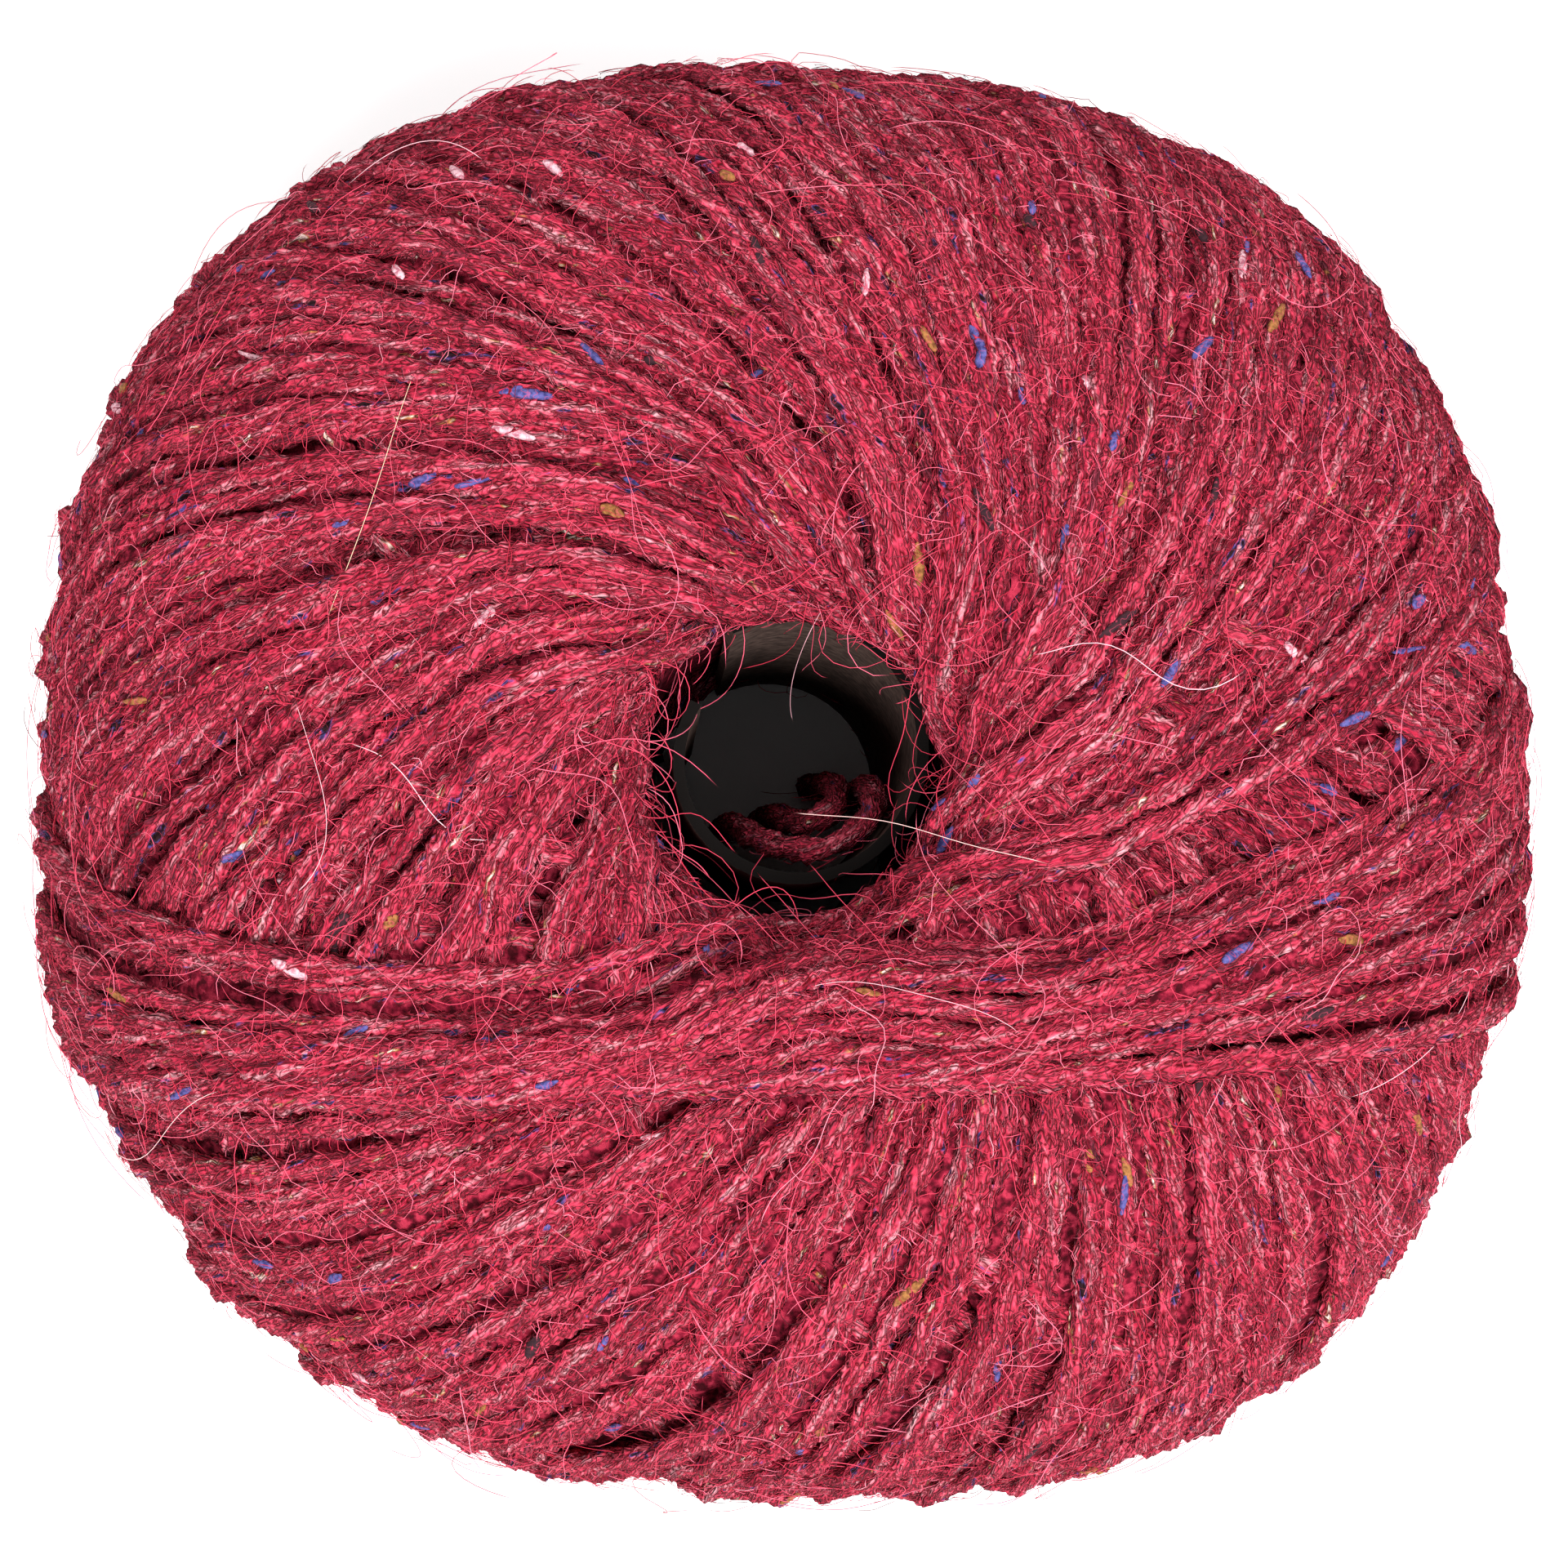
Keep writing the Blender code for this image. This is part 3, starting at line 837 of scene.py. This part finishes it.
def nub_fibre(name, colour, dark):
    """Matted short fibre of one dye, dull, with darker streaks and fibres of the yarn across it."""
    material, tree, shader = new_material(f"{name} nub fibre")
    place = add_node(tree, "ShaderNodeTexCoord").outputs["Object"]
    noise = add_node(tree, "ShaderNodeTexNoise", Vector=place, Scale=1 / (0.3 * MM), Detail=3.0)
    streak = noise.outputs["Fac"]
    dyed = ramp(tree, streak, (0.35, dark), (0.6, colour))
    wisps = fibre_lines(tree, place, 0.8 * MM, 0.8 * MM, 5.0)  # fibres of the yarn that cross the lump
    cover = ramp(tree, wisps, (0.38, "#000000"), (0.52, "#BCBCBC"))
    tree.links.new(mix_colours(tree, cover, dyed, linear("#C2425C")), shader.inputs["Base Color"])
    bump = add_node(tree, "ShaderNodeBump", Strength=0.8, Distance=0.15 * MM, Height=streak)
    tree.links.new(bump.outputs["Normal"], shader.inputs["Normal"])
    shader.inputs["Roughness"].default_value = 0.95
    shader.inputs["Specular IOR Level"].default_value = 0.15
    return material


flecks = np.random.default_rng(9)
for name, colour, dark, share in NUB_ROWS:
    count = int(NUB_COUNT * share)
    rows = flecks.choice(len(rings), count, replace=False)
    points = settled(nub_points(flecks, count, rows).reshape(-1, 3))
    nubs = new_mesh(f"nubs_{name}", points, nub_faces(count), nub_fibre(name, colour, dark))
    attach(nubs, "root")
    print(count, name, "flecks")

# %% [markdown]
# ## The halo of stray fibres
#
# Brushed wool has fibre ends standing off everywhere: a dense short nap that blurs the strands, and
# longer hairs that bow out and lie across them. A hair is a thin three-sided tube along a bowed,
# slightly wavy line. Real fibres are 0.03 mm thick. They are drawn two to three times thicker here,
# because thinner ones would vanish between the picture's pixels.

# %% Stray fibres
HAIR_SIDES = 3
SKIN_CURVE = 34 * MM  # how tightly the skin falls away under a long fibre


def fibre_line(draw, rows, steps, length, curl, lift, spread):
    """Curled lines that start on the strands, as (fibre, point, 3).

    The bearing starts along the strand, either way and give or take the spread, and turns steadily
    by the curl with one slow wave on top. The line is the running sum of equal steps at that
    bearing on the skin. Over the skin it arches by the lift, and it falls with the skin's curve.
    """
    count = len(rows)
    column = (count, 1)
    beside = draw.uniform(-1.1, 1.1, column)
    rise = outward[rows] * np.cos(beside) + sideways[rows] * np.sin(beside)
    root = centres[rows] + rise * (0.85 * YARN_RADIUS)
    size = draw.uniform(*length, column) * MM
    arch = draw.uniform(*lift, column) * MM
    way = np.linspace(0, 1, steps + 1)
    mid_step = (way[1:] + way[:-1]) / 2
    bearing = draw.normal(0, spread, column) + draw.choice((0, math.pi), column)
    bearing = bearing + draw.normal(0, curl, column) * mid_step
    waves = draw.uniform(0.5, 1.8, column) * mid_step + draw.uniform(0, 1, column)
    bearing += draw.uniform(0, 0.7, column) * np.sin(TAU * waves)
    ahead = np.zeros((count, steps + 1))
    aside = np.zeros((count, steps + 1))
    ahead[:, 1:] = np.cumsum(size / steps * np.cos(bearing), axis=1)
    aside[:, 1:] = np.cumsum(size / steps * np.sin(bearing), axis=1)
    over = arch * np.sin(math.pi * way * draw.uniform(0.5, 1.0, column))
    over -= (ahead**2 + aside**2) / (2 * SKIN_CURVE)
    parts = ((ahead, forward), (aside, sideways), (over, outward))
    return root[:, None] + sum(size[..., None] * ways[rows][:, None] for size, ways in parts)


def fibre_tubes(lines, thickness):
    """A closed three-sided tube along each line, drawn to a point at both ends."""
    count, places = lines.shape[:2]
    way = np.gradient(lines, axis=1)
    way /= np.linalg.norm(way, axis=2, keepdims=True) + 1e-12
    side = np.cross(way, (0.31, 0.52, 0.79))
    side /= np.linalg.norm(side, axis=2, keepdims=True) + 1e-12
    top = np.cross(way, side)
    around = np.arange(HAIR_SIDES) / HAIR_SIDES * TAU
    spread = np.cos(around)[:, None] * side[:, 1:-1, None] + np.sin(around)[:, None] * top[:, 1:-1, None]
    tube = lines[:, 1:-1, None] + thickness[:, None, None, None] / 2 * spread
    points = np.concatenate((lines[:, :1], tube.reshape(count, -1, 3), lines[:, -1:]), axis=1)
    corner = np.arange(HAIR_SIDES)
    beside = (corner + 1) % HAIR_SIDES
    ring = 1 + np.arange(places - 3)[:, None] * HAIR_SIDES
    further = ring + HAIR_SIDES
    quads = np.stack((ring + corner, ring + beside, further + beside, further + corner), axis=-1)
    last = 1 + (places - 3) * HAIR_SIDES
    first_fan = np.stack((np.zeros(HAIR_SIDES, int), 1 + beside, 1 + corner), axis=-1)
    last_fan = np.stack((last + corner, last + beside, np.full(HAIR_SIDES, last + HAIR_SIDES)), axis=-1)
    start = np.arange(count)[:, None, None] * (2 + (places - 2) * HAIR_SIDES)
    fans = (np.concatenate((first_fan, last_fan)) + start).reshape(-1, 3)
    return points.reshape(-1, 3), [(quads.reshape(-1, 4) + start).reshape(-1, 4), fans]


def fibre_piece(name, draw, rows, steps, length, curl, lift, spread, thickness, shades):
    """One piece of the halo, with a shade for each fibre."""
    lines = fibre_line(draw, rows, steps, length, curl, lift, spread)
    points, faces = fibre_tubes(lines, draw.uniform(*thickness, len(rows)) * MM)
    piece = new_mesh(name, settled(points), faces, STRAY)
    give_attribute(piece, "shade", np.repeat(draw.uniform(*shades, len(rows)), len(points) // len(rows)))
    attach(piece, "root")
    print(name, "has", len(rows), "fibres,", len(rows) * (steps - 1) * 6, "triangles")


hairs = np.random.default_rng(21)
# Rows: name, fibres, steps, length mm, curl, lift mm, spread, thickness mm, shades, share at the rim.
HAIR_ROWS = (
    ("nap_1", 10800, 4, (0.9, 2.6), 2.1, (0.04, 0.3), 0.5, (0.035, 0.055), (0.0, 0.93), 0.5),
    ("nap_2", 6800, 4, (0.9, 2.6), 2.1, (0.04, 0.3), 0.5, (0.035, 0.055), (0.0, 0.93), 0.5),
    ("fibres_middling", 5200, 6, (2.2, 5.5), 2.4, (0.12, 0.6), 0.9, (0.035, 0.055), (0.1, 0.9), 0.25),
    ("fibres_long", 700, 12, (6, 14), 1.6, (0.35, 1.2), 1.2, (0.045, 0.06), (0.5, 0.92), 0.1),
    ("fibres_pale", 12, 16, (9, 18), 1.7, (0.8, 2.0), 1.3, (0.045, 0.06), (0.93, 1.0), 0.1),
)
for name, count, *shape, rim_share in HAIR_ROWS:
    chance = rim_share + (1 - rim_share) * np.clip(outward[:, 2] * 1.6, 0, 1)
    chance[centres[:, 2] < 2.5 * MM] = 0.03  # hardly any where the ball lies
    fibre_piece(name, hairs, hairs.choice(len(rings), count, p=chance / chance.sum()), *shape)
lip_rows = np.flatnonzero((np.hypot(centres[:, 0], centres[:, 1]) < 11 * MM) & (centres[:, 2] > 40 * MM))
over_hole = (12, (4, 13), 2.6, (0.2, 2.2), 1.6, (0.045, 0.07), (0.35, 0.9))
fibre_piece("fibres_over_the_hole", hairs, hairs.choice(lip_rows, 110), *over_hole)

# %% [markdown]
# ## The card in the hole
#
# A strip of dark card stands in the hole, rolled and sprung open. Its imported solid has the right
# shape, so it only gets a finish: uncoated board, matt and a little fibrous, nearly black, with painted
# shade on its top edge.

# %% Card


def uncoated_card():
    """Dark uncoated board: pulp flecks of about half a millimetre, a soft bump, and painted shade on the cut
    edge that faces up.
    """
    material, tree, shader = new_material("uncoated dark card")
    place = add_node(tree, "ShaderNodeTexCoord").outputs["Object"]
    pulp = add_node(tree, "ShaderNodeTexNoise", Vector=place, Scale=1 / (0.6 * MM), Detail=5.0).outputs["Fac"]
    board = ramp(tree, pulp, (0.35, "#3A2D29"), (0.65, "#5E4C45"))
    # Painted shade: wherever the card faces up, on its top cut edge, it is mixed to nearly black.
    facing = add_node(tree, "ShaderNodeTexCoord").outputs["Normal"]
    upward = add_node(tree, "ShaderNodeSeparateXYZ", Vector=facing).outputs["Z"]
    top_edge_painted_shade = ramp(tree, upward, (0.5, "#000000"), (0.8, "#FFFFFF"))
    colour = mix_colours(tree, top_edge_painted_shade, board, linear("#0A0706"))
    tree.links.new(colour, shader.inputs["Base Color"])
    bump = add_node(tree, "ShaderNodeBump", Strength=0.4, Distance=0.08 * MM, Height=pulp)
    tree.links.new(bump.outputs["Normal"], shader.inputs["Normal"])
    shader.inputs["Roughness"].default_value = 0.9
    shader.inputs["Specular IOR Level"].default_value = 0.1
    return material


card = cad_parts["card_strip"]
card.data.materials.clear()
card.data.materials.append(uncoated_card())

# %% [markdown]
# ## Floor and light
#
# A pale floor, and light as in a product studio: four soft lights in a ring above the ball, the
# strongest at the picture's lower left, and an even pale surround. None of them is straight above,
# so the bottom of the hole stays dark.

# %% Floor and lights


def pale_floor():
    """A wide flat square just under the ball."""
    half = 1.5
    points = np.array([(-half, -half, 0), (half, -half, 0), (half, half, 0), (-half, half, 0)], float)
    points[:, 2] = -0.02 * MM
    material, _, shader = new_material("pale painted board")
    shader.inputs["Base Color"].default_value = linear("#FAFAFA")
    shader.inputs["Roughness"].default_value = 0.8
    floor = new_mesh("floor", points, [np.array([[0, 1, 2, 3]])], material)


def soft_light(name, place, size, power):
    """A square area light that faces the ball."""
    data = bpy.data.lights.new(name, "AREA")
    data.size = size
    data.energy = power
    light = bpy.data.objects.new(name, data)
    light.location = place
    light.rotation_euler = (Vector(place) - AIM).to_track_quat("Z", "Y").to_euler()
    bpy.context.scene.collection.objects.link(light)


pale_floor()
# Rows: name, bearing round the ball in degrees anticlockwise from the picture's right, power in watts.
LIGHT_ROWS = (
    ("front_left", -98, 7.9),
    ("front_right", -40, 3.5),
    ("back_right", 45, 2.8),
    ("back_left", 140, 1.9),
)
for name, bearing, power in LIGHT_ROWS:
    turn = math.radians(bearing)
    soft_light(name, (0.40 * math.cos(turn), 0.40 * math.sin(turn), 0.72), 0.26, power)
world = bpy.data.worlds.new("studio")
world.use_nodes = True
world.node_tree.nodes["Background"].inputs["Color"].default_value = linear("#FFFFFF")
world.node_tree.nodes["Background"].inputs["Strength"].default_value = 0.48
bpy.context.scene.world = world
bpy.context.scene.view_settings.view_transform = "Standard"

# %% The end
bpy.context.view_layer.update()
